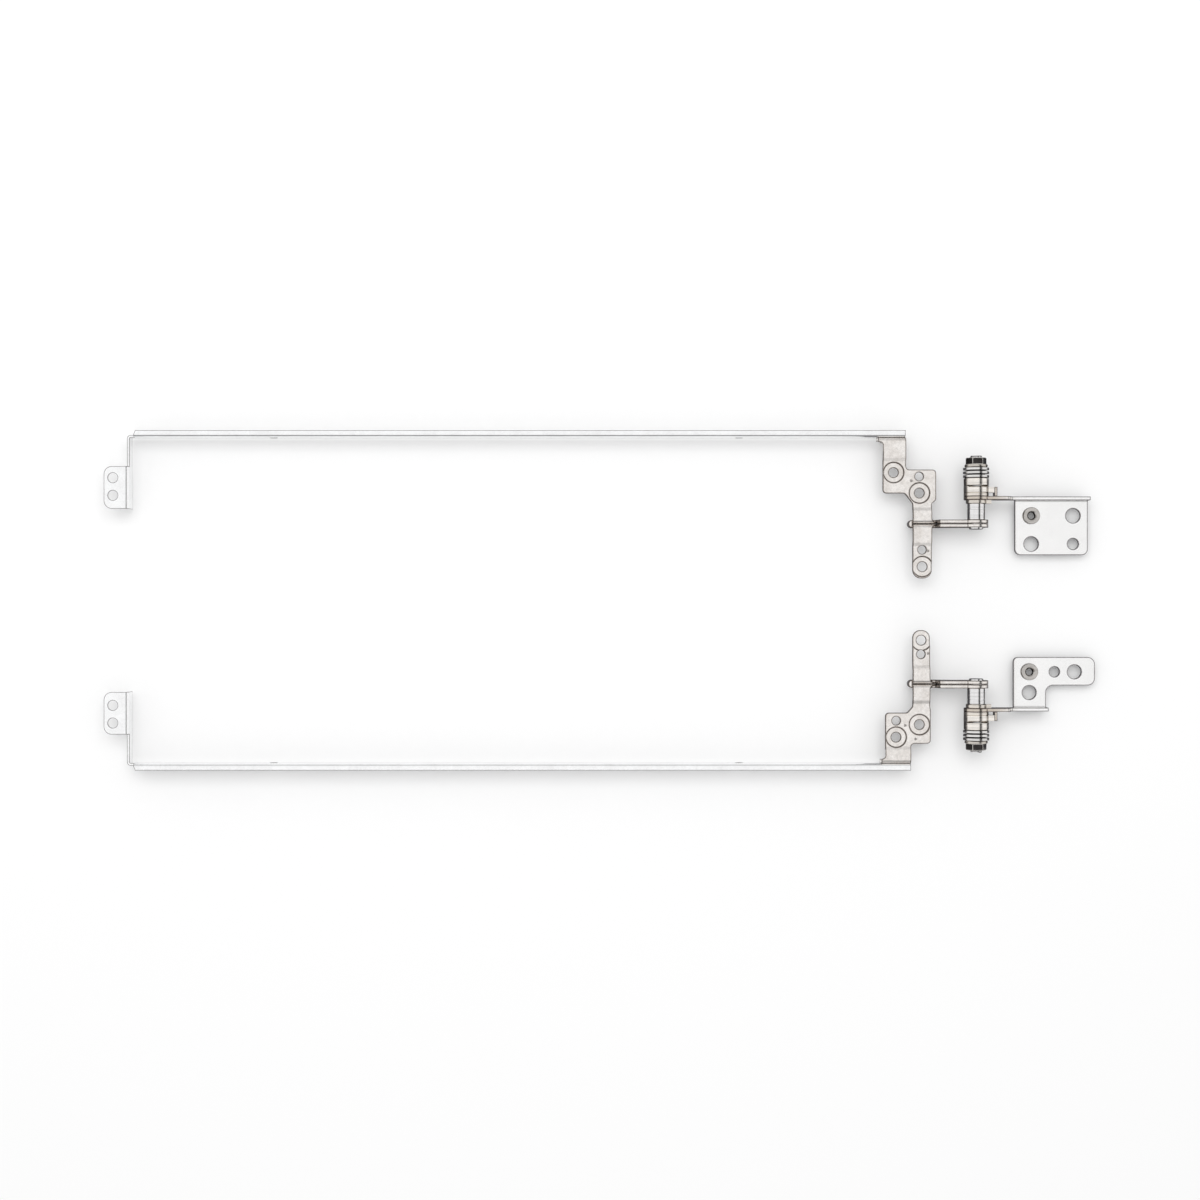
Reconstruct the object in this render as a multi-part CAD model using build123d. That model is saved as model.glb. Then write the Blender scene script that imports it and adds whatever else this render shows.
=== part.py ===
from build123d import *
import math
import os
from types import SimpleNamespace

# Laptop hinge pair, laid flat with the lid brackets opened out to 180 degrees.
# Millimetres. +X runs from the lid rails to the base brackets, +Z is up and the hinge
# axis lies along Y. The right-hand hinge is at +Y and the left-hand one at -Y.
# Within a hinge, x is measured from the hinge axis, v inwards from the rail's inner face,
# and u along the barrel, from the middle of the lid bracket's arm towards the lock nut.

# Driving dimensions: sheet metal
rail_sheet = 0.7
lid_sheet = 1.0
base_sheet = 1.0
bend_radius = 0.3  # inside radius of every bend

# Driving dimensions: where the two hinges lie
rail_gap = 90.8  # between the inner faces of the two rails
lid_reach = 242.5  # hinge axis to the outer edge of the rails' tabs
axis_height = 5.0

# Driving dimensions: lid rail and its end tab
rail_height = 5.0
rail_width = 1.9
end_wall_height = 3.4
end_wall_length = 8.1
tab_length = 11.8
tab_reach = 6.1  # tab's outer edge to the end wall's outer face
tab_corner = 2.2
tab_hole_d = 2.75
tab_hole_pitch = 4.9
tab_hole_inset = 3.2
tab_hole_edge = 2.5
panel_hole_d = 2.2
panel_hole_pitch = 130.0
panel_hole_inset = 40.0
panel_hole_height = 2.0
mitre_relief = 0.4
mitre_run = 0.8

# Driving dimensions: rivets that hold the rail to the lid bracket
rivet_d = 1.6
rivet_head_d = 2.5
rivet_head_height = 0.4
rivet_pitch = 3.4
rivet_height = 2.1

# Driving dimensions: lid bracket
lid_drop = 0.1  # top of its flats below the hinge axis
joggle_step = 0.6
joggle_run = 1.5
joggle_round = 2.0
wall_bottom = 0.6
arm_slit = 0.15
neck_fillet = 1.1
neck_edge = 0.4  # what is left of the fold's bend where the neck runs out
lobe_corner = 1.0
mark_radius = 0.35  # three-cornered punch marks
mark_depth = 0.12
lid_ear_radius = 3.3
lid_arm_rise = 2.0  # arm's top edge above the hinge axis
lid_arm_step = 11.0  # hinge axis to the foot of the step in the arm's top edge
step_run = 0.9
step_fillet = 0.6
screw_hole_d = 2.65
recess_d = 5.7
recess_depth = 0.35
locating_hole_d = 2.35

# Driving dimensions: base bracket
base_wall_height = 4.4
base_ear_radius = 3.4
base_arm_rise = 2.0
base_arm_drop = 3.1  # arm's bottom edge below the hinge axis
base_arm_step = 9.9  # hinge axis to the foot of the step in the wall's top edge
finger_x = 4.9  # hinge axis to the near face of the finger that holds the fixed cam
finger_length = 2.6
finger_height = 2.2
finger_sheet = 0.8
finger_notch = 1.1

# Driving dimensions: clinch nut for an M2.5 screw
clinch_shank_d = 3.4
clinch_head_d = 4.7
clinch_head_height = 0.9
clinch_bore_d = 2.1
clinch_chamfer = 0.3

# Driving dimensions: barrel
arm_to_ear = 7.1  # middle of the lid arm to the middle of the base ear
shaft_d = 4.8
shaft_groove_width = 0.2
shaft_groove_depth = 0.15
shaft_groove_inset = 1.4
spindle_d = 4.0
spindle_flats = 3.0
tenon_d = 3.4
tenon_flats = 2.5
rivet_end_d = 3.9
rivet_end_height = 0.5
stop_washer_d = 5.6
stop_washer_thickness = 1.0
stop_lug_reach = 4.1
stop_lug_width = 1.6
washer_d = 6.8
friction_washer_thickness = 1.0
cam_d = 6.8
fixed_cam_thickness = 1.6
cam_gap = 0.4
nose_height = 0.35
nose_width = 3.4
nose_flank = 0.8
cam_lug_width = 2.2
moving_cam_d = 6.9
moving_cam_thickness = 2.0
cam_notch_width = 1.3
cam_notch_depth = 0.5
cam_notch_length = 0.6
cam_flat_depth = 0.25
spring_d = 7.1
spring_bore_d = 4.3
spring_count = 6
spring_thickness = 0.3
spring_cone = 0.22
end_washer_d = 6.3
end_washer_thickness = 0.7
nut_across_flats = 5.0
nut_thickness = 1.9
thread_d = 3.0
thread_end = 0.6
edge_chamfer = 0.12
run_clearance = 0.05  # radial, between the spindle and what it turns in
face_clearance = 0.04  # between faces that turn past each other

# The right-hand and left-hand hinge differ in their plates. Screw places are (x, v); those of the
# tongue and its joggles are set out from the arm's fold, and the base plate's rows of holes from
# its wall (near) and from its free edge (far).
right = SimpleNamespace(
    name="right",
    side=1,
    rail_end=-19.6,
    flange_left=-27.2,
    plate_left=-25.8,
    plate_right=-19.4,
    lobe_right=-11.0,
    lobe_start=9.0,
    lobe_end=15.6,
    lobe_flat_end=-19.7,
    neck_left=-17.5,
    neck_right=-12.2,
    neck_start=18.5,
    fold=24.1,
    rail_joggle=6.2,
    neck_joggle=4.1,
    tongue_joggle=5.7,
    tongue_length=15.2,
    plate_screws=((-22.8, 9.8), (-15.6, 15.5)),
    plate_locating=(-15.7, 10.9),
    tongue_screw=(-14.8, 11.9),
    tongue_locating=(-14.9, 7.2),
    plate_marks=((-17.9, 12.1),),
    tongue_mark=(-13.3, 7.5),
    base_left=11.6,
    base_right=32.0,
    base_depth=15.7,
    leg_inset=0.0,
    leg_start=0.0,
    base_corners=(1.6, 1.6, 1.6),
    base_rows={"near": 4.7, "far": 3.1},
    clinch=(16.2, "near"),
    base_holes=((27.9, "near", 4.05), (16.2, "far", 4.05), (27.9, "far", 3.1)),
)
left = SimpleNamespace(
    name="left",
    side=-1,
    rail_end=-18.1,
    flange_left=-26.2,
    plate_left=-25.1,
    plate_right=-18.0,
    lobe_right=-12.5,
    lobe_start=5.5,
    lobe_end=14.1,
    lobe_flat_end=-19.0,
    neck_left=-17.5,
    neck_right=-12.7,
    neck_start=15.8,
    fold=22.1,
    rail_joggle=4.3,
    neck_joggle=5.0,
    tongue_joggle=4.8,
    tongue_length=15.0,
    plate_screws=((-22.1, 7.3), (-15.6, 10.8)),
    plate_locating=(-22.1, 11.9),
    tongue_screw=(-15.1, 12.2),
    tongue_locating=(-15.2, 8.3),
    plate_marks=((-19.6, 10.6), (-16.7, 6.8)),
    tongue_mark=(-13.2, 8.5),
    base_left=11.2,
    base_right=34.0,
    base_depth=14.5,
    leg_inset=13.7,
    leg_start=6.6,
    base_corners=(1.3, 2.0, 2.0),
    base_rows={"near": 4.6, "far": 4.1},
    clinch=(15.65, "far"),
    base_holes=((28.3, "far", 3.9), (15.65, "near", 3.9), (22.7, "far", 2.9)),
)
hinges = (right, left)

# Derived sizes
axis_x = (lid_reach - left.base_right) / 2
rail_bend = rail_sheet + bend_radius
lid_bend = lid_sheet + bend_radius
base_bend = base_sheet + bend_radius
flat_top = axis_height - lid_drop
recessed_top = flat_top - joggle_step
arm_half = lid_sheet + arm_slit / 2
end_wall_outer = -lid_reach + tab_reach
end_wall_inner = end_wall_outer + rail_sheet
tab_end = end_wall_length + tab_length
deep = 4 * axis_height  # height of a cutting prism

# Stations along the barrel
ear_start = arm_to_ear - base_sheet / 2
ear_end = arm_to_ear + base_sheet / 2
stop_end = ear_start - face_clearance
stop_start = stop_end - stop_washer_thickness
friction_end = ear_end + friction_washer_thickness
fixed_cam_end = friction_end + fixed_cam_thickness
moving_cam_start = fixed_cam_end + cam_gap
moving_cam_end = moving_cam_start + moving_cam_thickness
spring_pitch = spring_thickness + spring_cone
springs_end = moving_cam_end + spring_count * spring_pitch
end_washer_end = springs_end + end_washer_thickness
nut_end = end_washer_end + nut_thickness
shaft_end = nut_end + thread_end


def plan(hinge, x, v):
    """Point of the plan, from a hinge's own x and v."""
    return (axis_x + x, hinge.side * (rail_gap / 2 - v))


def plan_prism(hinge, corners, bottom=-axis_height, height=deep):
    """Upright prism over a plan outline of (x, v, corner radius)."""
    outline = FilletPolyline(
        *[plan(hinge, x, v) for x, v, _ in corners],
        radius=[r for _, _, r in corners],
        close=True,
    )
    return Pos(0, 0, bottom) * extrude(make_face(outline), height)


def hole(hinge, x, v, diameter, bottom=-axis_height, height=deep):
    """Upright cylinder that cuts a hole through a plate."""
    cx, cy = plan(hinge, x, v)
    lift = (Align.CENTER, Align.CENTER, Align.MIN)
    return Pos(cx, cy, bottom) * Cylinder(diameter / 2, height, align=lift)


def section_plane(hinge, x):
    """Plane across the hinge at x: its own x is v, and its own y is the height."""
    cx, cy = plan(hinge, x, 0)
    return Plane(origin=(cx, cy, 0), x_dir=(0, -hinge.side, 0), z_dir=(-hinge.side, 0, 0))


def section_sheet(hinge, face, x_from, x_to):
    """Section in v and height, run along X from x_from to x_to."""
    run = x_to - x_from
    start = x_to if hinge.side > 0 else x_from
    return extrude(section_plane(hinge, start) * face, run)


def side_plate(hinge, face, v_from, v_to):
    """Side profile in x and height about the hinge axis, given a thickness from v_from to v_to."""
    v_near = v_to if hinge.side > 0 else v_from
    cx, cy = plan(hinge, 0, v_near)
    upright = Plane(origin=(cx, cy, axis_height), x_dir=(1, 0, 0), z_dir=(0, -1, 0))
    return extrude(upright * face, -(v_to - v_from))


def barrel(hinge, solid):
    """Solid turned about its own Z, put on the hinge axis with Z along u."""
    cx, cy = plan(hinge, 0, hinge.fold)
    return Plane(origin=(cx, cy, axis_height), x_dir=(1, 0, 0), z_dir=(0, hinge.side, 0)) * solid


def disc(diameter, start, end, chamfer_size=0.0):
    """Round blank from one station of the barrel to another."""
    lift = (Align.CENTER, Align.CENTER, Align.MIN)
    blank = Cylinder(diameter / 2, end - start, align=lift)
    if chamfer_size > 0:
        blank = chamfer(blank.edges().filter_by(GeomType.CIRCLE), chamfer_size)
    return Pos(0, 0, start) * blank


def double_d(diameter, flats, start, end):
    """Round bar with two flats, from one station of the barrel to another."""
    face = Circle(diameter / 2) & Rectangle(2 * diameter, flats)
    return Pos(0, 0, start) * extrude(face, end - start)


def block(x_from, x_to, width, start, end):
    """Radial block on the barrel's +X side."""
    lift = (Align.MIN, Align.CENTER, Align.MIN)
    return Pos(x_from, 0, start) * Box(x_to - x_from, width, end - start, align=lift)


def lid_rail(hinge):
    """Long folded rail beside the panel, with its end wall and screw tab."""
    corner_x = end_wall_inner + rail_bend
    # Wall with an outward flange along its top
    rail_section = FilletPolyline(
        (0, 0),
        (0, rail_height),
        (-rail_width, rail_height),
        (-rail_width, rail_height - rail_sheet),
        (-rail_sheet, rail_height - rail_sheet),
        (-rail_sheet, 0),
        radius=[0, rail_bend, 0, 0, bend_radius, 0],
        close=True,
    )
    rail = section_sheet(hinge, make_face(rail_section), corner_x, hinge.rail_end)
    # The flange is mitred where the wall turns in, with a relief notch beside the bend
    mitre_x = corner_x + mitre_relief
    mitre = [
        (corner_x - rail_width, 0.5 * rail_sheet, 0),
        (mitre_x, 0.5 * rail_sheet, 0),
        (mitre_x, -rail_sheet, 0),
        (mitre_x + mitre_run, -rail_width - rail_sheet, 0),
        (corner_x - rail_width, -rail_width - rail_sheet, 0),
    ]
    rail -= plan_prism(hinge, mitre, end_wall_height)
    # End wall, bent round the corner
    end_wall = [
        (corner_x, -rail_sheet, 0),
        (end_wall_outer, -rail_sheet, rail_bend),
        (end_wall_outer, end_wall_length, 0),
        (end_wall_inner, end_wall_length, 0),
        (end_wall_inner, 0, bend_radius),
        (corner_x, 0, 0),
    ]
    rail += plan_prism(hinge, end_wall, 0, end_wall_height)
    # Tab, folded outwards from the top of the end wall
    tab_section = FilletPolyline(
        (end_wall_inner, 0),
        (end_wall_inner, rail_height),
        (-lid_reach, rail_height),
        (-lid_reach, rail_height - rail_sheet),
        (end_wall_outer, rail_height - rail_sheet),
        (end_wall_outer, 0),
        radius=[0, rail_bend, 0, 0, bend_radius, 0],
        close=True,
    )
    tab_face = Pos(0, -axis_height) * make_face(tab_section)
    tab = side_plate(hinge, tab_face, end_wall_length, tab_end)
    tab_outline = [
        (-lid_reach, end_wall_length, tab_corner),
        (end_wall_inner, end_wall_length, 0),
        (end_wall_inner, tab_end, 0),
        (-lid_reach, tab_end, tab_corner),
    ]
    tab &= plan_prism(hinge, tab_outline)
    for step in range(2):
        hole_v = end_wall_length + tab_hole_inset + step * tab_hole_pitch
        tab -= hole(hinge, -lid_reach + tab_hole_edge, hole_v, tab_hole_d)
    rail += tab
    # Screw holes into the side of the display panel, and the rivet holes
    for step in range(2):
        hole_x = end_wall_inner + panel_hole_inset + step * panel_hole_pitch
        rail -= cross_bar(hinge, hole_x, panel_hole_height, panel_hole_d, -rail_sheet, 0)
    for x in rivet_places(hinge):
        rail -= cross_bar(hinge, x, rivet_height, rivet_d, -rail_sheet, 0)
    return rail


def cross_bar(hinge, x, height, diameter, v_from, v_to):
    """Round bar along Y, from v_from to v_to."""
    face = Pos(x, height - axis_height) * Circle(diameter / 2)
    return side_plate(hinge, face, v_from, v_to)


def rivet_places(hinge):
    """The x of the two rivets, centred on the bracket's flange."""
    middle = (hinge.flange_left + min(hinge.plate_right, hinge.rail_end)) / 2
    return (middle - rivet_pitch / 2, middle + rivet_pitch / 2)


def rail_rivets(hinge):
    """Two rivets through the rail's wall and the bracket's flange."""
    rivet_start = -rail_sheet - rivet_head_height
    rivet_end = lid_sheet + rivet_head_height
    rivets = []
    for x in rivet_places(hinge):
        shank = cross_bar(hinge, x, rivet_height, rivet_d, -rail_sheet, lid_sheet)
        heads = cross_bar(hinge, x, rivet_height, rivet_head_d, rivet_start, rivet_end)
        heads -= cross_bar(hinge, x, rivet_height, 2 * rivet_head_d, -rail_sheet, lid_sheet)
        rivets.append(shank + heads)
    return rivets


def joggled_sheet(steps, v_from, v_to, near_wall, far_wall):
    """Sheet with its joggles, between a wall folded down at either end or a plain end."""
    slope = math.atan2(joggle_step, joggle_run)
    ease = lid_sheet * math.tan(slope / 2)
    levels = [flat_top, recessed_top]
    top = []
    under = []
    for number, v in enumerate(steps):
        before = levels[number % 2]
        after = levels[(number + 1) % 2]
        shift = -ease if after < before else ease
        top += [(v - joggle_run / 2, before), (v + joggle_run / 2, after)]
        under += [
            (v - joggle_run / 2 + shift, before - lid_sheet),
            (v + joggle_run / 2 + shift, after - lid_sheet),
        ]
    last = levels[len(steps) % 2]
    points = []
    radii = []
    if near_wall:
        points += [(v_from, wall_bottom), (v_from, flat_top)]
        radii += [0, lid_bend]
    else:
        points += [(v_from, flat_top)]
        radii += [0]
    points += top
    radii += [joggle_round] * len(top)
    if far_wall:
        points += [(v_to, last), (v_to, wall_bottom), (v_to - lid_sheet, wall_bottom)]
        points += [(v_to - lid_sheet, last - lid_sheet)]
        radii += [lid_bend, 0, 0, bend_radius]
    else:
        points += [(v_to, last), (v_to, last - lid_sheet)]
        radii += [0, 0]
    points += under[::-1]
    radii += [joggle_round] * len(under)
    if near_wall:
        points += [(v_from + lid_sheet, flat_top - lid_sheet), (v_from + lid_sheet, wall_bottom)]
        radii += [bend_radius, 0]
    else:
        points += [(v_from, flat_top - lid_sheet)]
        radii += [0]
    return make_face(FilletPolyline(*points, radius=radii, close=True))


def lid_arm_profile():
    """Side view of one layer of the lid arm, about the hinge axis: wall, step, arm and round ear."""
    top_of_wall = flat_top - lid_bend - axis_height
    bottom = wall_bottom - axis_height
    run_up = 2 * lid_ear_radius
    outline = FilletPolyline(
        (-lid_arm_step - neck_fillet, bottom),
        (-lid_arm_step + step_run, bottom),
        (-run_up + step_run, -lid_ear_radius),
        (0, -lid_ear_radius),
        (0, lid_arm_rise),
        (-lid_arm_step + step_run, lid_arm_rise),
        (-lid_arm_step, top_of_wall),
        (-lid_arm_step - neck_fillet, top_of_wall),
        radius=[0, step_fillet, step_fillet, 0, 0, step_fillet, step_fillet, 0],
        close=True,
    )
    tenon_hole = Circle(tenon_d / 2) & Rectangle(2 * tenon_d, tenon_flats)
    return make_face(outline) + Circle(lid_ear_radius) - tenon_hole


def lid_bracket(hinge):
    """Folded bracket: rail flange, screw plates with joggles, double arm and tongue."""
    near = hinge.fold - arm_slit / 2
    far = hinge.fold + arm_slit / 2
    flare_x = -lid_arm_step
    reach = hinge.flange_left - lid_sheet
    # Plates between the rail and the fold
    plates = joggled_sheet((hinge.rail_joggle, hinge.fold - hinge.neck_joggle), 0, near, True, True)
    plates = section_sheet(hinge, plates, reach, 0)
    outline = [
        (hinge.flange_left, 0, 0),
        (hinge.flange_left, lid_bend, 0),
        (hinge.plate_left, lid_bend, lobe_corner),
        (hinge.plate_left, hinge.lobe_end, lobe_corner),
        (hinge.lobe_flat_end, hinge.lobe_end, lobe_corner),
        (hinge.neck_left, hinge.neck_start, lobe_corner),
        (hinge.neck_left, near, 0),
        (flare_x, near, 0),
        (flare_x, near - neck_edge, 0),
        (hinge.neck_right, near - neck_edge, neck_fillet),
        (hinge.neck_right, hinge.neck_start, lobe_corner / 2),
        (hinge.lobe_right, hinge.neck_start - lobe_corner, lobe_corner),
        (hinge.lobe_right, hinge.lobe_start, lobe_corner),
        (hinge.plate_right, hinge.lobe_start, lobe_corner),
        (hinge.plate_right, 0, 0),
    ]
    bracket = plates & plan_prism(hinge, outline)
    # Tongue beyond the fold
    tongue_end = hinge.fold + hinge.tongue_length
    tongue = joggled_sheet((hinge.fold + hinge.tongue_joggle,), far, tongue_end, True, False)
    tongue = section_sheet(hinge, tongue, reach, 0)
    end_round = 0.45 * (hinge.neck_right - hinge.neck_left)
    tongue_outline = [
        (hinge.neck_left, far, 0),
        (hinge.neck_left, tongue_end, end_round),
        (hinge.neck_right, tongue_end, end_round),
        (hinge.neck_right, far + neck_edge, neck_fillet),
        (flare_x, far + neck_edge, 0),
        (flare_x, far, 0),
    ]
    bracket += tongue & plan_prism(hinge, tongue_outline)
    # Two layers of the arm, joined by a fold at their far end
    bracket += side_plate(hinge, lid_arm_profile(), near - lid_sheet, near)
    bracket += side_plate(hinge, lid_arm_profile(), far, far + lid_sheet)
    fold_x, fold_y = plan(hinge, hinge.neck_left, hinge.fold)
    fold_ring = Circle(arm_half) - Circle(arm_slit / 2)
    outside = Pos(-arm_half, 0) * Rectangle(2 * arm_half, 4 * arm_half)
    fold_height = flat_top - lid_bend - wall_bottom
    bracket += Pos(fold_x, fold_y, wall_bottom) * extrude(fold_ring & outside, fold_height)
    # Screw holes in their coined recesses, and locating holes
    tongue_x, tongue_v = hinge.tongue_screw
    for x, v in hinge.plate_screws + ((tongue_x, hinge.fold + tongue_v),):
        bracket -= hole(hinge, x, v, screw_hole_d)
        bracket -= hole(hinge, x, v, recess_d, recessed_top - recess_depth)
    tongue_x, tongue_v = hinge.tongue_locating
    for x, v in (hinge.plate_locating, (tongue_x, hinge.fold + tongue_v)):
        bracket -= hole(hinge, x, v, locating_hole_d)
    tongue_x, tongue_v = hinge.tongue_mark
    for x, v in hinge.plate_marks + ((tongue_x, hinge.fold + tongue_v),):
        mark = extrude(RegularPolygon(mark_radius, 3), joggle_step)
        bracket -= Pos(*plan(hinge, x, v), recessed_top - mark_depth) * mark
    for x in rivet_places(hinge):
        bracket -= cross_bar(hinge, x, rivet_height, rivet_d, 0, lid_sheet)
    return bracket


def base_row(hinge, row):
    """The v of a row of holes in the base plate."""
    ear_v = hinge.fold - arm_to_ear
    if row == "near":
        return ear_v + hinge.base_rows["near"]
    return ear_v + hinge.base_depth - hinge.base_rows["far"]


def base_bracket(hinge):
    """Flat screw plate with a low wall that rises to the ear round the spindle."""
    ear_v = hinge.fold - arm_to_ear
    outer_v = ear_v - base_sheet / 2
    inner_v = ear_v + base_sheet / 2
    far_v = ear_v + hinge.base_depth
    # Plate and wall
    angle = FilletPolyline(
        (outer_v, base_wall_height),
        (outer_v, 0),
        (far_v, 0),
        (far_v, base_sheet),
        (inner_v, base_sheet),
        (inner_v, base_wall_height),
        radius=[0, base_bend, 0, 0, bend_radius, 0],
        close=True,
    )
    bracket = section_sheet(hinge, make_face(angle), hinge.base_left, hinge.base_right)
    near_left, far_left, far_right = hinge.base_corners
    outline = [
        (hinge.base_left, outer_v, 0),
        (hinge.base_left, far_v, near_left),
        (hinge.base_right, far_v, far_left),
    ]
    leg_right = hinge.base_right - hinge.leg_inset
    if hinge.leg_inset > 0:
        outline += [
            (hinge.base_right, ear_v + hinge.leg_start, far_right),
            (leg_right, ear_v + hinge.leg_start, far_right),
        ]
    outline += [(leg_right, outer_v, 0)]
    bracket &= plan_prism(hinge, outline)
    # Wall's step up to the arm and the ear
    low = base_wall_height - axis_height
    profile = FilletPolyline(
        (0, -base_arm_drop),
        (base_arm_step, -base_arm_drop),
        (hinge.base_left + base_bend, -base_arm_drop),
        (hinge.base_left + base_bend, low),
        (base_arm_step, low),
        (base_arm_step - step_run, base_arm_rise),
        (0, base_arm_rise),
        radius=[0, 0, 0, 0, step_fillet, step_fillet, 0],
        close=True,
    )
    window_start = finger_x + finger_sheet
    window = Rectangle(finger_length - bend_radius, finger_height)
    arm = make_face(profile) + Circle(base_ear_radius)
    arm -= Pos(window_start + finger_length / 2, 0) * window
    arm -= Circle(spindle_d / 2 + run_clearance)
    bracket += side_plate(hinge, arm, outer_v, inner_v)
    # Forked finger, bent out of the arm beside the fixed cam
    finger = block(finger_x, window_start, finger_height, arm_to_ear, ear_end + finger_length)
    finger -= block(0, 2 * window_start, finger_notch, friction_end - face_clearance, shaft_end)
    bracket += barrel(hinge, finger)
    # Screw holes and the seat of the clinch nut
    clinch_x, clinch_row = hinge.clinch
    bracket -= hole(hinge, clinch_x, base_row(hinge, clinch_row), clinch_shank_d)
    for x, row, diameter in hinge.base_holes:
        bracket -= hole(hinge, x, base_row(hinge, row), diameter)
    return bracket


def clinch_nut(hinge):
    """Threaded nut pressed into the base plate, with its head on the upper side."""
    x, row = hinge.clinch
    v = base_row(hinge, row)
    top = base_sheet + clinch_head_height
    nut = hole(hinge, x, v, clinch_shank_d, 0, base_sheet)
    head = hole(hinge, x, v, clinch_head_d, base_sheet, clinch_head_height)
    nut += chamfer(head.faces().sort_by(Axis.Z)[-1].edges(), edge_chamfer)
    nut -= hole(hinge, x, v, clinch_bore_d, 0, top)
    mouth = nut.faces().sort_by(Axis.Z)[-1].edges().sort_by(SortBy.LENGTH)[0]
    return chamfer(mouth, clinch_chamfer)


def shaft():
    """Turned shaft: rivet end, tenon in the arm, body, flatted spindle and threaded end."""
    head = disc(rivet_end_d, -arm_half - rivet_end_height, -arm_half)
    head = fillet(head.faces().sort_by(Axis.Z)[0].edges(), 0.6 * rivet_end_height)
    body = head + double_d(tenon_d, tenon_flats, -arm_half, arm_half)
    body += disc(shaft_d, arm_half, stop_start, edge_chamfer)
    groove_at = stop_start - shaft_groove_inset
    groove = disc(2 * shaft_d, groove_at, groove_at + shaft_groove_width)
    body -= groove - disc(shaft_d - 2 * shaft_groove_depth, groove_at, groove_at + shaft_groove_width)
    body += double_d(spindle_d, spindle_flats, stop_start, end_washer_end)
    threaded = disc(thread_d, end_washer_end, shaft_end)
    body += chamfer(threaded.faces().sort_by(Axis.Z)[-1].edges(), edge_chamfer)
    return body


def stop_washer():
    """Washer keyed to the spindle, with the lug that limits the opening."""
    washer = disc(stop_washer_d, stop_start, stop_end, edge_chamfer)
    washer += block(0, stop_lug_reach, stop_lug_width, stop_start, stop_end)
    return washer - double_d(spindle_d, spindle_flats, stop_start, stop_end)


def friction_washer():
    """Plain washer between the ear and the fixed cam."""
    washer = disc(washer_d, ear_end, friction_end, edge_chamfer)
    return washer - disc(spindle_d + 2 * run_clearance, ear_end, friction_end)


def fixed_cam():
    """Cam with two noses, held from turning by a lug in the bracket's forked finger."""
    cam = disc(cam_d, friction_end, fixed_cam_end, edge_chamfer)
    root_end = finger_x - face_clearance
    cam += block(0, root_end, cam_lug_width, friction_end, fixed_cam_end)
    tip_width = finger_notch - 2 * face_clearance
    cam += block(0, finger_x + finger_sheet, tip_width, friction_end, ear_end + finger_length)
    nose_face = Polyline(
        (-nose_width / 2 - nose_flank, fixed_cam_end - edge_chamfer),
        (-nose_width / 2, fixed_cam_end + nose_height),
        (nose_width / 2, fixed_cam_end + nose_height),
        (nose_width / 2 + nose_flank, fixed_cam_end - edge_chamfer),
        close=True,
    )
    ridge = extrude(Plane.YZ * make_face(nose_face), cam_d, both=True)
    cam += ridge & disc(cam_d, friction_end, moving_cam_end)
    return cam - disc(spindle_d + 2 * run_clearance, friction_end, moving_cam_end)


def moving_cam():
    """Cam keyed to the spindle, with a rim flat and a notch beside the springs."""
    cam = disc(moving_cam_d, moving_cam_start, moving_cam_end, edge_chamfer)
    flat_x = moving_cam_d / 2 - cam_flat_depth
    cam -= block(-moving_cam_d, -flat_x, moving_cam_d, moving_cam_start, moving_cam_end)
    notch_x = moving_cam_d / 2 - cam_notch_depth
    cam -= block(notch_x, moving_cam_d, cam_notch_width, moving_cam_end - cam_notch_length, moving_cam_end)
    return cam - double_d(spindle_d, spindle_flats, moving_cam_start, moving_cam_end)


def disc_spring(number):
    """Conical disc spring; neighbours lie rim to rim and then bore to bore."""
    start = moving_cam_end + number * spring_pitch
    at_bore, at_rim = (0, spring_cone) if number % 2 == 0 else (spring_cone, 0)
    section = Polyline(
        (spring_bore_d / 2, start + at_bore),
        (spring_d / 2, start + at_rim),
        (spring_d / 2, start + at_rim + spring_thickness),
        (spring_bore_d / 2, start + at_bore + spring_thickness),
        close=True,
    )
    return revolve(Plane.XZ * make_face(section), Axis.Z)


def end_washer():
    """Keyed washer under the lock nut."""
    washer = disc(end_washer_d, springs_end, end_washer_end, edge_chamfer)
    return washer - double_d(spindle_d, spindle_flats, springs_end, end_washer_end)


def lock_nut():
    """Hexagon nut that loads the springs, one flat uppermost, its outer corners turned off."""
    corner_radius = nut_across_flats / math.sqrt(3)
    hexagon = Pos(0, 0, end_washer_end) * extrude(RegularPolygon(corner_radius, 6), nut_thickness)
    turned = disc(2 * corner_radius, end_washer_end, nut_end)
    turned = chamfer(turned.faces().sort_by(Axis.Z)[-1].edges(), 2 * edge_chamfer)
    return (hexagon & turned) - disc(thread_d, end_washer_end, nut_end)


os.makedirs("parts", exist_ok=True)
for hinge in hinges:
    pieces = {
        "rail": lid_rail(hinge),
        "rail_rivets": Compound(children=rail_rivets(hinge)),
        "lid_bracket": lid_bracket(hinge),
        "shaft": barrel(hinge, shaft()),
        "stop_washer": barrel(hinge, stop_washer()),
        "base_bracket": base_bracket(hinge),
        "clinch_nut": clinch_nut(hinge),
        "friction_washer": barrel(hinge, friction_washer()),
        "fixed_cam": barrel(hinge, fixed_cam()),
        "moving_cam": barrel(hinge, moving_cam()),
        "end_washer": barrel(hinge, end_washer()),
        "lock_nut": barrel(hinge, lock_nut()),
    }
    for number in range(spring_count):
        pieces[f"disc_spring_{number + 1}"] = barrel(hinge, disc_spring(number))
    for name, solid in pieces.items():
        export_step(solid, f"parts/{hinge.name}_{name}.step")
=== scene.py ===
import math

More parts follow.
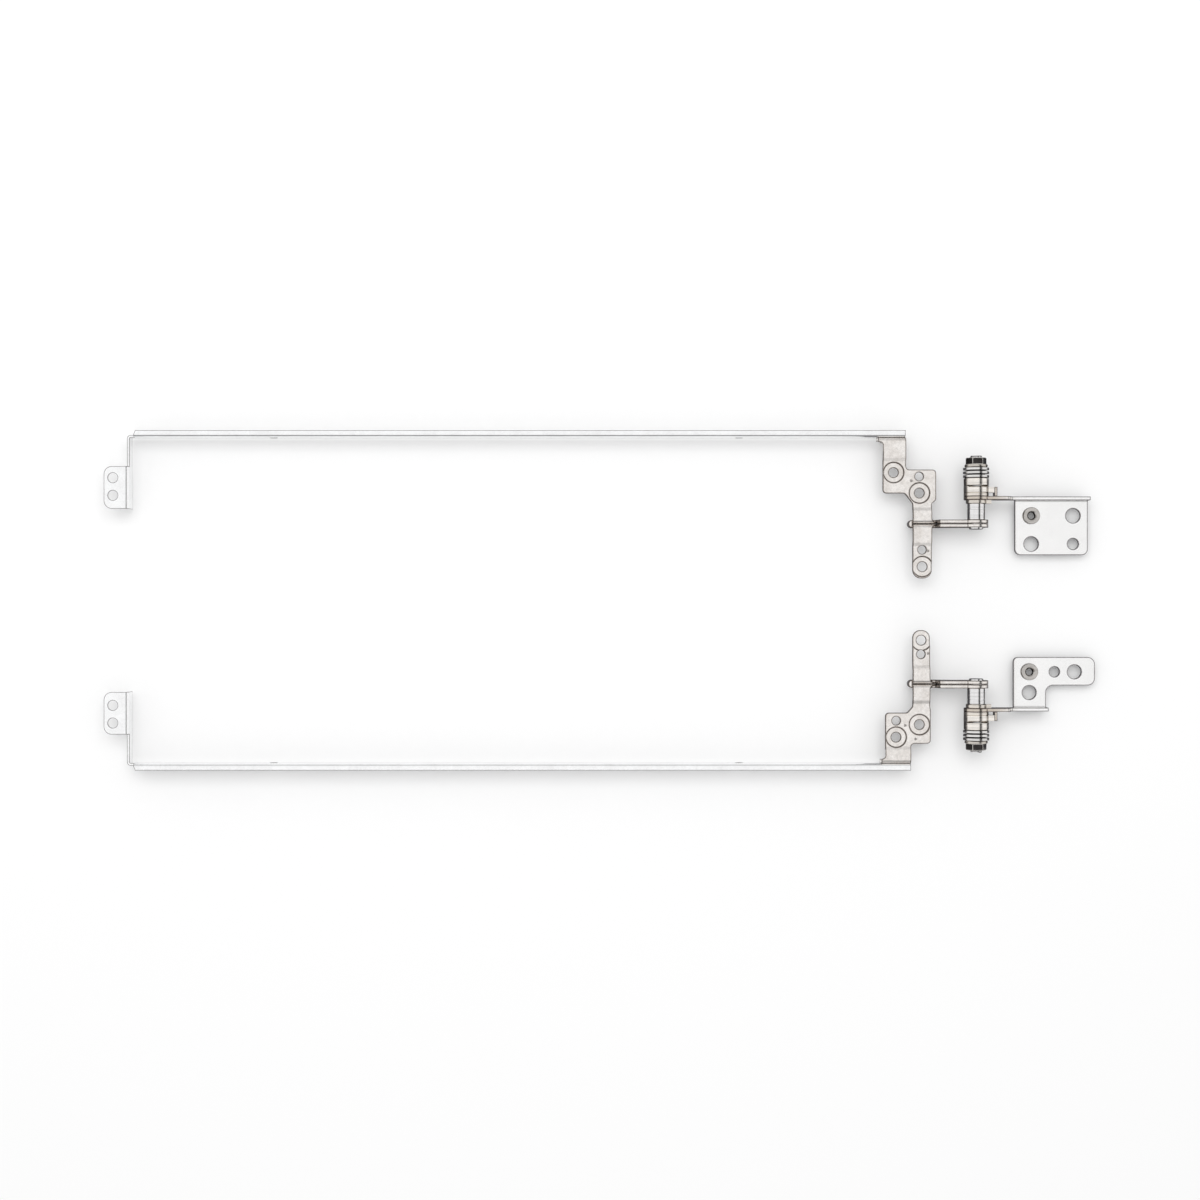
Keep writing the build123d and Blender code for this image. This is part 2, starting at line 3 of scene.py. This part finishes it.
import bpy
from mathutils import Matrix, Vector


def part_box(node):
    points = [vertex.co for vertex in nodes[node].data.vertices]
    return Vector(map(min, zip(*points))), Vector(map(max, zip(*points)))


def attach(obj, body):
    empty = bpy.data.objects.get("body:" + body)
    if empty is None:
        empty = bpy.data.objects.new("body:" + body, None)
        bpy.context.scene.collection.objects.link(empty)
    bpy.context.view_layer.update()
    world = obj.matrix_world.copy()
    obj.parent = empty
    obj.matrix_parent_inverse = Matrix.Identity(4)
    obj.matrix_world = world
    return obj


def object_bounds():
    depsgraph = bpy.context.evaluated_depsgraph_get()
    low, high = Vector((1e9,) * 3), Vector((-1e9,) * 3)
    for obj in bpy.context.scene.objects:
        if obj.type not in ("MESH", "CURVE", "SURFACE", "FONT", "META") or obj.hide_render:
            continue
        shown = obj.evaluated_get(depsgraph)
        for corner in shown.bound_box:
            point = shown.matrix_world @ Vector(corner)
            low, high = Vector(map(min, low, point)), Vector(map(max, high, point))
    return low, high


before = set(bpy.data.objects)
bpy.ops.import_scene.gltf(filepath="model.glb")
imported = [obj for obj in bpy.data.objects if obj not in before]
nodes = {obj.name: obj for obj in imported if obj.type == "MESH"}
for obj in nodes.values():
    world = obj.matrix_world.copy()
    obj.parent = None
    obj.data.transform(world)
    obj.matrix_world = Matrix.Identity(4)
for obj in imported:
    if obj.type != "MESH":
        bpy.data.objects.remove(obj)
cad_low, cad_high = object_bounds()
sides = ("right", "left")


# Display rails: one long strip of cold-rolled steel on each side of the panel, roll-bent to an
# angle, with its end wall turned round the corner and a screw tab folded out. Bright plating
# lies over a faint rolling grain that runs along the strip.
def plated_sheet(
    name,
    colour,
    stain,
    speck,
    painted_edge_colour,
    edge_width,
    roughness,
    patch_scale,
    grain_scale,
    grain_depth,
    oil=None,
):
    """Plated sheet metal: soft patches of stain, fine grain, and a band beside the edges in the edge
    colour, painted shade where that colour is dark and painted glints where it is bright.
    """
    material = bpy.data.materials.new(name)
    material.use_nodes = True
    tree = material.node_tree
    link = tree.links.new
    shader = tree.nodes["Principled BSDF"]
    shader.inputs["Metallic"].default_value = 1.0
    place = tree.nodes.new("ShaderNodeTexCoord")

    patches = tree.nodes.new("ShaderNodeTexNoise")
    patches.inputs["Scale"].default_value = patch_scale
    patches.inputs["Detail"].default_value = 5.0
    patches.inputs["Roughness"].default_value = 0.62
    link(place.outputs["Object"], patches.inputs["Vector"])
    patch_ramp = tree.nodes.new("ShaderNodeValToRGB")
    patch_ramp.color_ramp.elements[0].position = 0.3
    patch_ramp.color_ramp.elements[0].color = (*stain, 1)
    patch_ramp.color_ramp.elements[1].position = 0.62
    patch_ramp.color_ramp.elements[1].color = (*colour, 1)
    link(patches.outputs["Fac"], patch_ramp.inputs["Fac"])

    # Specks a little under a millimetre across, where the plating took unevenly
    specks = tree.nodes.new("ShaderNodeTexNoise")
    specks.inputs["Scale"].default_value = 1500
    specks.inputs["Detail"].default_value = 2.0
    link(place.outputs["Object"], specks.inputs["Vector"])
    speck_level = tree.nodes.new("ShaderNodeMapRange")
    speck_level.inputs["From Min"].default_value = 0.36
    speck_level.inputs["From Max"].default_value = 0.56
    speck_level.inputs["To Min"].default_value = speck
    speck_level.inputs["To Max"].default_value = 1.0
    link(specks.outputs["Fac"], speck_level.inputs["Value"])
    speckled = tree.nodes.new("ShaderNodeVectorMath")
    speckled.operation = "SCALE"
    link(patch_ramp.outputs["Color"], speckled.inputs[0])
    link(speck_level.outputs["Result"], speckled.inputs["Scale"])

    # Oil that crept from the barrel: full up to the first x, gone at the second
    surface = speckled.outputs["Vector"]
    if oil:
        full_x, clean_x, oil_colour = oil
        along = tree.nodes.new("ShaderNodeSeparateXYZ")
        link(place.outputs["Object"], along.inputs["Vector"])
        clean = tree.nodes.new("ShaderNodeMapRange")
        clean.inputs["From Min"].default_value = full_x
        clean.inputs["From Max"].default_value = clean_x
        link(along.outputs["X"], clean.inputs["Value"])
        oiled = tree.nodes.new("ShaderNodeMix")
        oiled.data_type = "RGBA"
        link(clean.outputs["Result"], oiled.inputs["Factor"])
        oiled.inputs["A"].default_value = (*oil_colour, 1)
        link(surface, oiled.inputs["B"])
        surface = oiled.outputs["Result"]

    stretch = tree.nodes.new("ShaderNodeMapping")
    stretch.inputs["Scale"].default_value = grain_scale
    link(place.outputs["Object"], stretch.inputs["Vector"])
    grain = tree.nodes.new("ShaderNodeTexNoise")
    grain.inputs["Scale"].default_value = 1.0
    grain.inputs["Detail"].default_value = 3.0
    link(stretch.outputs["Vector"], grain.inputs["Vector"])

    # Edges are rounded a little, and beside them lies a painted band: painted shade when the edge
    # colour is dark, standing in for the dark reflections along edges, and painted glints when it is
    # bright
    rounded = tree.nodes.new("ShaderNodeBevel")
    rounded.samples = 6
    rounded.inputs["Radius"].default_value = 0.00014
    beside = tree.nodes.new("ShaderNodeBevel")
    beside.samples = 12
    beside.inputs["Radius"].default_value = edge_width
    flat = tree.nodes.new("ShaderNodeNewGeometry")
    facing = tree.nodes.new("ShaderNodeVectorMath")
    facing.operation = "DOT_PRODUCT"
    link(beside.outputs["Normal"], facing.inputs[0])
    link(flat.outputs["Normal"], facing.inputs[1])
    edge = tree.nodes.new("ShaderNodeMapRange")
    edge.inputs["From Min"].default_value = 0.999
    edge.inputs["From Max"].default_value = 0.955
    edge.inputs["To Max"].default_value = 0.97
    link(facing.outputs["Value"], edge.inputs["Value"])
    painted_edge_mix = tree.nodes.new("ShaderNodeMix")
    painted_edge_mix.data_type = "RGBA"
    link(edge.outputs["Result"], painted_edge_mix.inputs["Factor"])
    link(surface, painted_edge_mix.inputs["A"])
    painted_edge_mix.inputs["B"].default_value = (*painted_edge_colour, 1)
    link(painted_edge_mix.outputs["Result"], shader.inputs["Base Color"])

    dull = tree.nodes.new("ShaderNodeMapRange")
    dull.inputs["To Min"].default_value = roughness - 0.07
    dull.inputs["To Max"].default_value = roughness + 0.07
    link(grain.outputs["Fac"], dull.inputs["Value"])
    link(dull.outputs["Result"], shader.inputs["Roughness"])
    bump = tree.nodes.new("ShaderNodeBump")
    bump.inputs["Strength"].default_value = 0.35
    bump.inputs["Distance"].default_value = grain_depth
    link(grain.outputs["Fac"], bump.inputs["Height"])
    link(rounded.outputs["Normal"], bump.inputs["Normal"])
    link(bump.outputs["Normal"], shader.inputs["Normal"])
    return material


def finish_node(node, material):
    """Gives a solid of the frame its finish in every slot."""
    for number in range(len(nodes[node].material_slots)):
        nodes[node].material_slots[number].material = material


rail_plating = plated_sheet(
    "rail_plating",
    colour=(0.97, 0.975, 0.98),
    stain=(0.9, 0.9, 0.905),
    speck=0.97,
    # dark band beside the edges: painted shade for the dark reflections along them
    painted_edge_colour=(0.14, 0.13, 0.13),
    edge_width=0.00034,
    roughness=0.2,
    patch_scale=160,
    grain_scale=(180, 5200, 5200),
    grain_depth=0.00002,
)
for side in sides:
    finish_node(f"{side}_rail", rail_plating)


# Rail rivets: two cold-headed steel rivets on each side that hold the rail to the bracket's flange.
def turned_steel(name, colour, roughness, ring_scale, ring_depth):
    """Turned steel under a film of oil: fine rings round the Y axis, dark where seen aslant."""
    material = bpy.data.materials.new(name)
    material.use_nodes = True
    tree = material.node_tree
    link = tree.links.new
    shader = tree.nodes["Principled BSDF"]
    shader.inputs["Metallic"].default_value = 1.0
    shader.inputs["Specular Tint"].default_value = (0.12, 0.11, 0.1, 1)
    place = tree.nodes.new("ShaderNodeTexCoord")
    stretch = tree.nodes.new("ShaderNodeMapping")
    stretch.inputs["Scale"].default_value = (90, ring_scale, 90)
    link(place.outputs["Object"], stretch.inputs["Vector"])
    rings = tree.nodes.new("ShaderNodeTexNoise")
    rings.inputs["Scale"].default_value = 1.0
    rings.inputs["Detail"].default_value = 4.0
    link(stretch.outputs["Vector"], rings.inputs["Vector"])
    tint = tree.nodes.new("ShaderNodeValToRGB")
    tint.color_ramp.elements[0].position = 0.25
    tint.color_ramp.elements[0].color = (*[0.7 * part for part in colour], 1)
    tint.color_ramp.elements[1].position = 0.6
    tint.color_ramp.elements[1].color = (*colour, 1)
    link(rings.outputs["Fac"], tint.inputs["Fac"])
    link(tint.outputs["Color"], shader.inputs["Base Color"])
    dull = tree.nodes.new("ShaderNodeMapRange")
    dull.inputs["To Min"].default_value = roughness - 0.06
    dull.inputs["To Max"].default_value = roughness + 0.08
    link(rings.outputs["Fac"], dull.inputs["Value"])
    link(dull.outputs["Result"], shader.inputs["Roughness"])
    bump = tree.nodes.new("ShaderNodeBump")
    bump.inputs["Strength"].default_value = 0.4
    bump.inputs["Distance"].default_value = ring_depth
    link(rings.outputs["Fac"], bump.inputs["Height"])
    link(bump.outputs["Normal"], shader.inputs["Normal"])
    return material


rivet_steel = turned_steel("rivet_steel", (0.62, 0.6, 0.57), 0.3, 4000, 0.00001)
for side in sides:
    finish_node(f"{side}_rail_rivets", rivet_steel)

# Lid brackets: stamped steel sheet, folded double for the arm, with joggled plates and coined
# screw recesses. Warm nickel plating, softly mottled, with a dark-brown band along the sheared edges
# that is partly their brown and mostly painted shade.
lid_plating = plated_sheet(
    "lid_plating",
    colour=(0.9, 0.865, 0.835),
    stain=(0.74, 0.695, 0.655),
    speck=0.93,
    # dark-brown band beside the edges: partly brown sheared edges, mostly painted shade for the dark
    # reflections along them
    painted_edge_colour=(0.09, 0.065, 0.05),
    edge_width=0.00052,
    roughness=0.24,
    patch_scale=330,
    grain_scale=(2600, 2600, 2600),
    grain_depth=0.00002,
)
for side in sides:
    finish_node(f"{side}_lid_bracket", lid_plating)

# Shafts: turned from bar, riveted into the lid arm, flatted for the washers and threaded at the
# free end. The end's thread is a rolled helix that stands just outside the lock nut, near-black
# as painted shade for the shade in its grooves.
shaft_steel = turned_steel("shaft_steel", (0.84, 0.83, 0.83), 0.17, 9000, 0.000006)
# Near-black thread steel: painted shade for the shade in thread grooves and in the clinch nuts'
# bores.
thread_painted_dark = turned_steel("thread_painted_dark", (0.1, 0.09, 0.085), 0.26, 3000, 0.00001)
thread_radius = 0.0015
thread_pitch = 0.00035
thread_ridge = 0.00013
thread_start = 0.12  # shares of the shaft's end outside the nut
thread_share = 0.7


def helix(name, centre, axis_tilt, radius, ridge, pitch, turns):
    """Helical ridge of triangular section, run round its own axis and set in place."""
    bpy.ops.object.select_all(action="DESELECT")
    bpy.ops.mesh.primitive_circle_add(
        vertices=3,
        radius=ridge,
        location=(radius, 0, 0),
        rotation=(math.pi / 2, 0, 0),
    )
    ridge_mesh = bpy.context.object
    ridge_mesh.name = name
    bpy.ops.object.transform_apply(location=True, rotation=True, scale=True)
    sweep = ridge_mesh.modifiers.new("sweep", "SCREW")
    sweep.axis = "Z"
    sweep.angle = 2 * math.pi * turns
    sweep.screw_offset = pitch * turns
    sweep.steps = round(40 * turns)
    sweep.render_steps = sweep.steps
    sweep.use_merge_vertices = True
    bpy.ops.object.modifier_apply(modifier="sweep")
    bpy.ops.object.mode_set(mode="EDIT")
    bpy.ops.mesh.select_all(action="DESELECT")
    bpy.ops.mesh.select_non_manifold()
    bpy.ops.mesh.fill()
    bpy.ops.mesh.select_all(action="SELECT")
    bpy.ops.mesh.normals_make_consistent(inside=False)
    bpy.ops.object.mode_set(mode="OBJECT")
    ridge_mesh.rotation_euler = (axis_tilt, 0, 0)
    ridge_mesh.location = centre
    bpy.ops.object.transform_apply(location=True, rotation=True, scale=True)
    bpy.ops.object.shade_smooth_by_angle(angle=math.radians(35))
    return ridge_mesh


for side in sides:
    finish_node(f"{side}_shaft", shaft_steel)
    shaft_low, shaft_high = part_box(f"{side}_shaft")
    nut_low, nut_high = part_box(f"{side}_lock_nut")
    outward = 1 if side == "right" else -1
    nut_face = nut_high.y if side == "right" else nut_low.y
    shaft_tip = shaft_high.y if side == "right" else shaft_low.y
    axis_x = (nut_low.x + nut_high.x) / 2
    axis_z = (nut_low.z + nut_high.z) / 2
    end_length = abs(shaft_tip - nut_face)
    thread_turns = thread_share * end_length / thread_pitch
    start = nut_face + outward * thread_start * end_length
    thread = helix(
        f"{side}_shaft_thread",
        (axis_x, start, axis_z),
        -outward * math.pi / 2,
        thread_radius,
        thread_ridge,
        thread_pitch,
        thread_turns,
    )
    thread.data.materials.append(thread_painted_dark)
    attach(thread, f"{side}_lid")

# Stop washers, friction washers and cams: stamped and sintered steel discs on the shaft's flats,
# oiled, with bright wear on their rims.
washer_steel = turned_steel("washer_steel", (0.8, 0.745, 0.68), 0.22, 2600, 0.00003)
cam_steel = turned_steel("cam_steel", (0.93, 0.885, 0.83), 0.2, 1800, 0.00003)
for side in sides:
    finish_node(f"{side}_stop_washer", washer_steel)
    finish_node(f"{side}_friction_washer", washer_steel)
    finish_node(f"{side}_fixed_cam", cam_steel)
    finish_node(f"{side}_moving_cam", cam_steel)

# Disc springs: six hardened conical discs on each shaft, rim to rim and bore to bore, dark with
# oil between bright rims.
spring_steel = turned_steel("spring_steel", (0.8, 0.785, 0.77), 0.18, 6000, 0.00001)
for side in sides:
    for number in range(1, 7):
        finish_node(f"{side}_disc_spring_{number}", spring_steel)

# End washers and lock nuts: a keyed washer under a blackened hexagon nut that sets the friction.
end_steel = turned_steel("end_steel", (0.66, 0.62, 0.57), 0.24, 2600, 0.00002)
nut_black = plated_sheet(
    "nut_black",
    colour=(0.05, 0.047, 0.045),
    stain=(0.03, 0.028, 0.027),
    speck=0.8,
    # bright band beside the edges: painted glints on the hex edges, partly worn black oxide
    painted_edge_colour=(0.62, 0.6, 0.57),
    edge_width=0.0004,
    roughness=0.24,
    patch_scale=900,
    grain_scale=(3000, 3000, 3000),
    grain_depth=0.00002,
)
for side in sides:
    finish_node(f"{side}_end_washer", end_steel)
    finish_node(f"{side}_lock_nut", nut_black)

# Base brackets: thick stamped plate with a low wall that rises to the ear, in pale satin nickel.
# Its ear and arm are brown with oil from the barrel.
barrel_low, barrel_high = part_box("right_lock_nut")
barrel_x = (barrel_low.x + barrel_high.x) / 2
base_plating = plated_sheet(
    "base_plating",
    colour=(0.985, 0.98, 0.975),
    stain=(0.95, 0.945, 0.94),
    speck=0.985,
    # dark band beside the edges: painted shade for the dark reflections along them
    painted_edge_colour=(0.12, 0.1, 0.105),
    edge_width=0.00046,
    roughness=0.22,
    patch_scale=130,
    grain_scale=(3000, 3000, 3000),
    grain_depth=0.00001,
    oil=(barrel_x + 0.0045, barrel_x + 0.0125, (0.6, 0.54, 0.47)),
)
for side in sides:
    finish_node(f"{side}_base_bracket", base_plating)

# Clinch nuts: turned steel nuts pressed into the base plates, with a machine thread inside,
# near-black as painted shade for the shade in the bore.
clinch_steel = turned_steel("clinch_steel", (0.6, 0.575, 0.55), 0.24, 1200, 0.00002)
clinch_bore = 0.00105
clinch_ridge = 0.00012
clinch_pitch = 0.00045
clinch_turns = 3.4
for side in sides:
    finish_node(f"{side}_clinch_nut", clinch_steel)
    clinch_low, clinch_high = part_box(f"{side}_clinch_nut")
    clinch_centre = (clinch_low + clinch_high) / 2
    clinch_thread = helix(
        f"{side}_clinch_thread",
        (clinch_centre.x, clinch_centre.y, clinch_low.z + clinch_ridge),
        0,
        clinch_bore,
        clinch_ridge,
        clinch_pitch,
        clinch_turns,
    )
    clinch_thread.data.materials.append(thread_painted_dark)
    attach(clinch_thread, "base_brackets")

# White studio table: a pale sheet a little below the pair, as under a pane of clear glass, so that
# thin plates throw a soft shadow too.
bpy.ops.object.select_all(action="DESELECT")
table_drop = 0.002
bpy.ops.mesh.primitive_plane_add(size=6, location=(0, 0, cad_low.z - table_drop))
table = bpy.context.object
table.name = "studio_table"
table_white = bpy.data.materials.new("table_white")
table_white.use_nodes = True
tree = table_white.node_tree
shader = tree.nodes["Principled BSDF"]
shader.inputs["Base Color"].default_value = (0.86, 0.86, 0.86, 1)
shader.inputs["Roughness"].default_value = 0.9
shader.inputs["Specular IOR Level"].default_value = 0.0
seen = tree.nodes.new("ShaderNodeLightPath")
seen_or_mirrored = tree.nodes.new("ShaderNodeMath")
seen_or_mirrored.operation = "MAXIMUM"
tree.links.new(seen.outputs["Is Camera Ray"], seen_or_mirrored.inputs[0])
tree.links.new(seen.outputs["Is Glossy Ray"], seen_or_mirrored.inputs[1])
lift = tree.nodes.new("ShaderNodeMath")
lift.operation = "MULTIPLY"
lift.inputs[1].default_value = 0.09
tree.links.new(seen_or_mirrored.outputs["Value"], lift.inputs[0])
shader.inputs["Emission Color"].default_value = (1, 1, 1, 1)
tree.links.new(lift.outputs["Value"], shader.inputs["Emission Strength"])
table.data.materials.append(table_white)

# White surroundings for whatever looks straight out. Metal mirrors a bright ceiling, bright walls
# left and right, a paler one up the picture and a dark room towards its foot. A dark gap between the
# ceiling and the right-hand wall shows as one line along each barrel.
world = bpy.data.worlds.new("studio")
bpy.context.scene.world = world
world.use_nodes = True
tree = world.node_tree
surround = tree.nodes["Background"]
surround.inputs["Color"].default_value = (1, 1, 1, 1)
path = tree.nodes.new("ShaderNodeLightPath")
outlook = tree.nodes.new("ShaderNodeTexCoord")
direction = tree.nodes.new("ShaderNodeSeparateXYZ")
tree.links.new(outlook.outputs["Generated"], direction.inputs["Vector"])
ceiling = tree.nodes.new("ShaderNodeMapRange")
ceiling.interpolation_type = "SMOOTHSTEP"
ceiling.inputs["From Min"].default_value = 0.55
ceiling.inputs["From Max"].default_value = 0.84
ceiling.inputs["To Min"].default_value = 0.3
tree.links.new(direction.outputs["Z"], ceiling.inputs["Value"])
sideways = tree.nodes.new("ShaderNodeMath")
sideways.operation = "ABSOLUTE"
tree.links.new(direction.outputs["X"], sideways.inputs[0])
side_walls = tree.nodes.new("ShaderNodeMapRange")
side_walls.interpolation_type = "SMOOTHSTEP"
side_walls.inputs["From Min"].default_value = 0.45
side_walls.inputs["From Max"].default_value = 0.7
tree.links.new(sideways.outputs["Value"], side_walls.inputs["Value"])
top_wall = tree.nodes.new("ShaderNodeMapRange")
top_wall.interpolation_type = "SMOOTHSTEP"
top_wall.inputs["From Min"].default_value = 0.4
top_wall.inputs["From Max"].default_value = 0.8
top_wall.inputs["To Max"].default_value = 0.7
tree.links.new(direction.outputs["Y"], top_wall.inputs["Value"])
walls = tree.nodes.new("ShaderNodeMath")
walls.operation = "MAXIMUM"
tree.links.new(side_walls.outputs["Result"], walls.inputs[0])
tree.links.new(top_wall.outputs["Result"], walls.inputs[1])
lit_room = tree.nodes.new("ShaderNodeMath")
lit_room.operation = "MAXIMUM"
tree.links.new(ceiling.outputs["Result"], lit_room.inputs[0])
tree.links.new(walls.outputs["Value"], lit_room.inputs[1])
gap = tree.nodes.new("ShaderNodeValToRGB")
gap.color_ramp.elements[0].position = 0.31
gap.color_ramp.elements[0].color = (1, 1, 1, 1)
gap.color_ramp.elements[1].position = 0.43
gap.color_ramp.elements[1].color = (0.02, 0.02, 0.02, 1)
gap.color_ramp.elements.new(0.62).color = (0.02, 0.02, 0.02, 1)
gap.color_ramp.elements.new(0.78).color = (1, 1, 1, 1)
tree.links.new(direction.outputs["X"], gap.inputs["Fac"])
mirrored = tree.nodes.new("ShaderNodeMath")
mirrored.operation = "MULTIPLY"
tree.links.new(lit_room.outputs["Value"], mirrored.inputs[0])
tree.links.new(gap.outputs["Color"], mirrored.inputs[1])
by_glossy = tree.nodes.new("ShaderNodeMix")
by_glossy.inputs["A"].default_value = 0.8
tree.links.new(path.outputs["Is Glossy Ray"], by_glossy.inputs["Factor"])
tree.links.new(mirrored.outputs["Value"], by_glossy.inputs["B"])
straight = tree.nodes.new("ShaderNodeMath")
straight.operation = "MAXIMUM"
tree.links.new(path.outputs["Is Camera Ray"], straight.inputs[0])
tree.links.new(path.outputs["Is Transmission Ray"], straight.inputs[1])
by_camera = tree.nodes.new("ShaderNodeMix")
by_camera.inputs["B"].default_value = 1.0
tree.links.new(straight.outputs["Value"], by_camera.inputs["Factor"])
tree.links.new(by_glossy.outputs["Result"], by_camera.inputs["A"])
tree.links.new(by_camera.outputs["Result"], surround.inputs["Strength"])

# Soft overhead lamp, a little up the picture, so that the shadows fall softly below the pieces.
bpy.ops.object.light_add(type="AREA", location=(-0.05, 0.3, 0.8))
lamp = bpy.context.object
lamp.name = "soft_lamp"
lamp.data.shape = "RECTANGLE"
lamp.data.size = 0.8
lamp.data.size_y = 0.5
lamp.data.energy = 2.7
lamp.rotation_euler = (math.radians(-20), 0, 0)
lamp.visible_glossy = False

# Dark card on the table under the barrels, seen only in their reflections: it gives round steel its
# dark flanks.
bpy.ops.object.select_all(action="DESELECT")
bpy.ops.mesh.primitive_plane_add(size=1, location=(barrel_x + 0.003, 0, cad_low.z - table_drop / 2))
card = bpy.context.object
card.name = "dark_card"
card.scale = (0.066, 0.084, 1)
card_grey = bpy.data.materials.new("card_grey")
card_grey.use_nodes = True
shader = card_grey.node_tree.nodes["Principled BSDF"]
shader.inputs["Base Color"].default_value = (0.17, 0.17, 0.18, 1)
shader.inputs["Specular IOR Level"].default_value = 0.0
card.data.materials.append(card_grey)
card.visible_camera = False
card.visible_diffuse = False
card.visible_shadow = False
card.visible_transmission = False

# Camera straight above the middle of the pair.
frame_width = 0.3342
camera_height = 0.55
picture_height = 0.004
camera_data = bpy.data.cameras.new("camera")
camera = bpy.data.objects.new("camera", camera_data)
bpy.context.scene.collection.objects.link(camera)
camera.location = (-0.0003, 0.0001, camera_height)
camera_data.angle = 2 * math.atan(frame_width / 2 / (camera_height - picture_height))
camera_data.clip_start = 0.01
bpy.context.scene.camera = camera
bpy.context.scene.view_settings.view_transform = "Standard"
